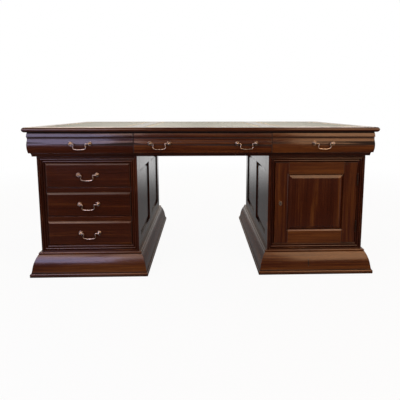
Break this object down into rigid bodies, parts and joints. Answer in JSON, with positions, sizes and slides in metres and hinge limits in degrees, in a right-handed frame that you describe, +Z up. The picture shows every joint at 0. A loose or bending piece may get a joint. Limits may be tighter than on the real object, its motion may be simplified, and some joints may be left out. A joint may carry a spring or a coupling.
{
  "type": "partners desk",
  "caption": "Pedestal partners desk with a leather top, moulded frieze drawers, drawers and a cupboard on both long sides and an open kneehole.",
  "frame": {"origin": "middle of the floor under the desk", "axes": "+X along the desk, +Y from the front in the picture to the back, +Z up"},
  "size_m": [1.8046, 1.116, 0.78],
  "materials": {
    "mahogany": "dark red-brown mahogany, glossy varnish",
    "carcass_wood": "stained carcass wood, satin",
    "leather": "green skiver with a tooled border",
    "brass": "aged brass",
    "steel": "bright steel"
  },
  "bodies": {
    "desk": {"top_core_board": "carcass_wood", "top_borders_and_bands": "mahogany", "leather_panels": "leather", "frieze_ends": "mahogany", "frieze_rails_and_runners": "carcass_wood", "left_pedestal_sides": "mahogany", "right_pedestal_sides": "mahogany", "left_pedestal_face_frames": "mahogany", "right_pedestal_face_frames": "mahogany", "left_pedestal_boards_and_runners": "carcass_wood", "right_pedestal_boards_and_runners": "carcass_wood", "left_pedestal_plinth": "mahogany", "right_pedestal_plinth": "mahogany", "hinge_frame_leaves_and_pins": "brass"},
    "front_frieze_left_drawer": {"front_frieze_left_drawer": "mahogany", "front_frieze_left_drawer_posts": "brass"},
    "front_frieze_centre_drawer": {"front_frieze_centre_drawer": "mahogany", "front_frieze_centre_drawer_posts": "brass"},
    "front_frieze_right_drawer": {"front_frieze_right_drawer": "mahogany", "front_frieze_right_drawer_posts": "brass"},
    "front_pedestal_bottom_drawer": {"front_pedestal_bottom_drawer": "mahogany", "front_pedestal_bottom_drawer_posts": "brass"},
    "front_pedestal_middle_drawer": {"front_pedestal_middle_drawer": "mahogany", "front_pedestal_middle_drawer_posts": "brass"},
    "front_pedestal_top_drawer": {"front_pedestal_top_drawer": "mahogany", "front_pedestal_top_drawer_posts": "brass"},
    "back_frieze_left_drawer": {"back_frieze_left_drawer": "mahogany", "back_frieze_left_drawer_posts": "brass"},
    "back_frieze_centre_drawer": {"back_frieze_centre_drawer": "mahogany", "back_frieze_centre_drawer_posts": "brass"},
    "back_frieze_right_drawer": {"back_frieze_right_drawer": "mahogany", "back_frieze_right_drawer_posts": "brass"},
    "back_pedestal_bottom_drawer": {"back_pedestal_bottom_drawer": "mahogany", "back_pedestal_bottom_drawer_posts": "brass"},
    "back_pedestal_middle_drawer": {"back_pedestal_middle_drawer": "mahogany", "back_pedestal_middle_drawer_posts": "brass"},
    "back_pedestal_top_drawer": {"back_pedestal_top_drawer": "mahogany", "back_pedestal_top_drawer_posts": "brass"},
    "front_frieze_left_bail": {"front_frieze_left_bail": "brass"},
    "front_frieze_centre_left_bail": {"front_frieze_centre_left_bail": "brass"},
    "front_frieze_centre_right_bail": {"front_frieze_centre_right_bail": "brass"},
    "front_frieze_right_bail": {"front_frieze_right_bail": "brass"},
    "front_pedestal_bottom_bail": {"front_pedestal_bottom_bail": "brass"},
    "front_pedestal_middle_bail": {"front_pedestal_middle_bail": "brass"},
    "front_pedestal_top_bail": {"front_pedestal_top_bail": "brass"},
    "back_frieze_left_bail": {"back_frieze_left_bail": "brass"},
    "back_frieze_centre_left_bail": {"back_frieze_centre_left_bail": "brass"},
    "back_frieze_centre_right_bail": {"back_frieze_centre_right_bail": "brass"},
    "back_frieze_right_bail": {"back_frieze_right_bail": "brass"},
    "back_pedestal_bottom_bail": {"back_pedestal_bottom_bail": "brass"},
    "back_pedestal_middle_bail": {"back_pedestal_middle_bail": "brass"},
    "back_pedestal_top_bail": {"back_pedestal_top_bail": "brass"},
    "front_door": {"front_door": "mahogany", "front_door_hinge_leaves": "brass", "front_door_lock": "brass"},
    "front_door_bolt": {"front_door_bolt": "steel"},
    "back_door": {"back_door": "mahogany", "back_door_hinge_leaves": "brass", "back_door_lock": "brass"},
    "back_door_bolt": {"back_door_bolt": "steel"}
  },
  "joints": [
    {"name": "front_frieze_left_drawer_slide", "type": "slide", "parent": "desk", "child": "front_frieze_left_drawer", "axis": [0, -1, 0], "range_m": [0, 0.33]},
    {"name": "front_frieze_centre_drawer_slide", "type": "slide", "parent": "desk", "child": "front_frieze_centre_drawer", "axis": [0, -1, 0], "range_m": [0, 0.33]},
    {"name": "front_frieze_right_drawer_slide", "type": "slide", "parent": "desk", "child": "front_frieze_right_drawer", "axis": [0, -1, 0], "range_m": [0, 0.33]},
    {"name": "front_pedestal_bottom_drawer_slide", "type": "slide", "parent": "desk", "child": "front_pedestal_bottom_drawer", "axis": [0, -1, 0], "range_m": [0, 0.33]},
    {"name": "front_pedestal_middle_drawer_slide", "type": "slide", "parent": "desk", "child": "front_pedestal_middle_drawer", "axis": [0, -1, 0], "range_m": [0, 0.33]},
    {"name": "front_pedestal_top_drawer_slide", "type": "slide", "parent": "desk", "child": "front_pedestal_top_drawer", "axis": [0, -1, 0], "range_m": [0, 0.33]},
    {"name": "back_frieze_left_drawer_slide", "type": "slide", "parent": "desk", "child": "back_frieze_left_drawer", "axis": [0, 1, 0], "range_m": [0, 0.33]},
    {"name": "back_frieze_centre_drawer_slide", "type": "slide", "parent": "desk", "child": "back_frieze_centre_drawer", "axis": [0, 1, 0], "range_m": [0, 0.33]},
    {"name": "back_frieze_right_drawer_slide", "type": "slide", "parent": "desk", "child": "back_frieze_right_drawer", "axis": [0, 1, 0], "range_m": [0, 0.33]},
    {"name": "back_pedestal_bottom_drawer_slide", "type": "slide", "parent": "desk", "child": "back_pedestal_bottom_drawer", "axis": [0, 1, 0], "range_m": [0, 0.33]},
    {"name": "back_pedestal_middle_drawer_slide", "type": "slide", "parent": "desk", "child": "back_pedestal_middle_drawer", "axis": [0, 1, 0], "range_m": [0, 0.33]},
    {"name": "back_pedestal_top_drawer_slide", "type": "slide", "parent": "desk", "child": "back_pedestal_top_drawer", "axis": [0, 1, 0], "range_m": [0, 0.33]},
    {"name": "front_frieze_left_bail_swing", "type": "hinge", "parent": "front_frieze_left_drawer", "child": "front_frieze_left_bail", "pos_m": [-0.61875, -0.5515, 0.698], "axis": [-1, 0, 0], "range_deg": [-15, 95]},
    {"name": "front_frieze_centre_left_bail_swing", "type": "hinge", "parent": "front_frieze_centre_drawer", "child": "front_frieze_centre_left_bail", "pos_m": [-0.221, -0.5515, 0.698], "axis": [-1, 0, 0], "range_deg": [-15, 95]},
    {"name": "front_frieze_centre_right_bail_swing", "type": "hinge", "parent": "front_frieze_centre_drawer", "child": "front_frieze_centre_right_bail", "pos_m": [0.221, -0.5515, 0.698], "axis": [-1, 0, 0], "range_deg": [-15, 95]},
    {"name": "front_frieze_right_bail_swing", "type": "hinge", "parent": "front_frieze_right_drawer", "child": "front_frieze_right_bail", "pos_m": [0.61875, -0.5515, 0.698], "axis": [-1, 0, 0], "range_deg": [-15, 95]},
    {"name": "front_pedestal_bottom_bail_swing", "type": "hinge", "parent": "front_pedestal_bottom_drawer", "child": "front_pedestal_bottom_bail", "pos_m": [-0.597, -0.518, 0.22533], "axis": [-1, 0, 0], "range_deg": [-15, 95]},
    {"name": "front_pedestal_middle_bail_swing", "type": "hinge", "parent": "front_pedestal_middle_drawer", "child": "front_pedestal_middle_bail", "pos_m": [-0.597, -0.518, 0.38], "axis": [-1, 0, 0], "range_deg": [-15, 95]},
    {"name": "front_pedestal_top_bail_swing", "type": "hinge", "parent": "front_pedestal_top_drawer", "child": "front_pedestal_top_bail", "pos_m": [-0.597, -0.518, 0.53467], "axis": [-1, 0, 0], "range_deg": [-15, 95]},
    {"name": "back_frieze_left_bail_swing", "type": "hinge", "parent": "back_frieze_left_drawer", "child": "back_frieze_left_bail", "pos_m": [0.61875, 0.5515, 0.698], "axis": [1, 0, 0], "range_deg": [-15, 95]},
    {"name": "back_frieze_centre_left_bail_swing", "type": "hinge", "parent": "back_frieze_centre_drawer", "child": "back_frieze_centre_left_bail", "pos_m": [0.221, 0.5515, 0.698], "axis": [1, 0, 0], "range_deg": [-15, 95]},
    {"name": "back_frieze_centre_right_bail_swing", "type": "hinge", "parent": "back_frieze_centre_drawer", "child": "back_frieze_centre_right_bail", "pos_m": [-0.221, 0.5515, 0.698], "axis": [1, 0, 0], "range_deg": [-15, 95]},
    {"name": "back_frieze_right_bail_swing", "type": "hinge", "parent": "back_frieze_right_drawer", "child": "back_frieze_right_bail", "pos_m": [-0.61875, 0.5515, 0.698], "axis": [1, 0, 0], "range_deg": [-15, 95]},
    {"name": "back_pedestal_bottom_bail_swing", "type": "hinge", "parent": "back_pedestal_bottom_drawer", "child": "back_pedestal_bottom_bail", "pos_m": [0.597, 0.518, 0.22533], "axis": [1, 0, 0], "range_deg": [-15, 95]},
    {"name": "back_pedestal_middle_bail_swing", "type": "hinge", "parent": "back_pedestal_middle_drawer", "child": "back_pedestal_middle_bail", "pos_m": [0.597, 0.518, 0.38], "axis": [1, 0, 0], "range_deg": [-15, 95]},
    {"name": "back_pedestal_top_bail_swing", "type": "hinge", "parent": "back_pedestal_top_drawer", "child": "back_pedestal_top_bail", "pos_m": [0.597, 0.518, 0.53467], "axis": [1, 0, 0], "range_deg": [-15, 95]},
    {"name": "front_door_swing", "type": "hinge", "parent": "desk", "child": "front_door", "pos_m": [0.8147, -0.507, 0.374], "axis": [0, 0, 1], "range_deg": [0, 105]},
    {"name": "front_door_bolt_throw", "type": "slide", "parent": "front_door", "child": "front_door_bolt", "axis": [-1, 0, 0], "range_m": [0, 0.012]},
    {"name": "back_door_swing", "type": "hinge", "parent": "desk", "child": "back_door", "pos_m": [-0.8147, 0.507, 0.374], "axis": [0, 0, 1], "range_deg": [0, 105]},
    {"name": "back_door_bolt_throw", "type": "slide", "parent": "back_door", "child": "back_door_bolt", "axis": [1, 0, 0], "range_m": [0, 0.012]}
  ]
}
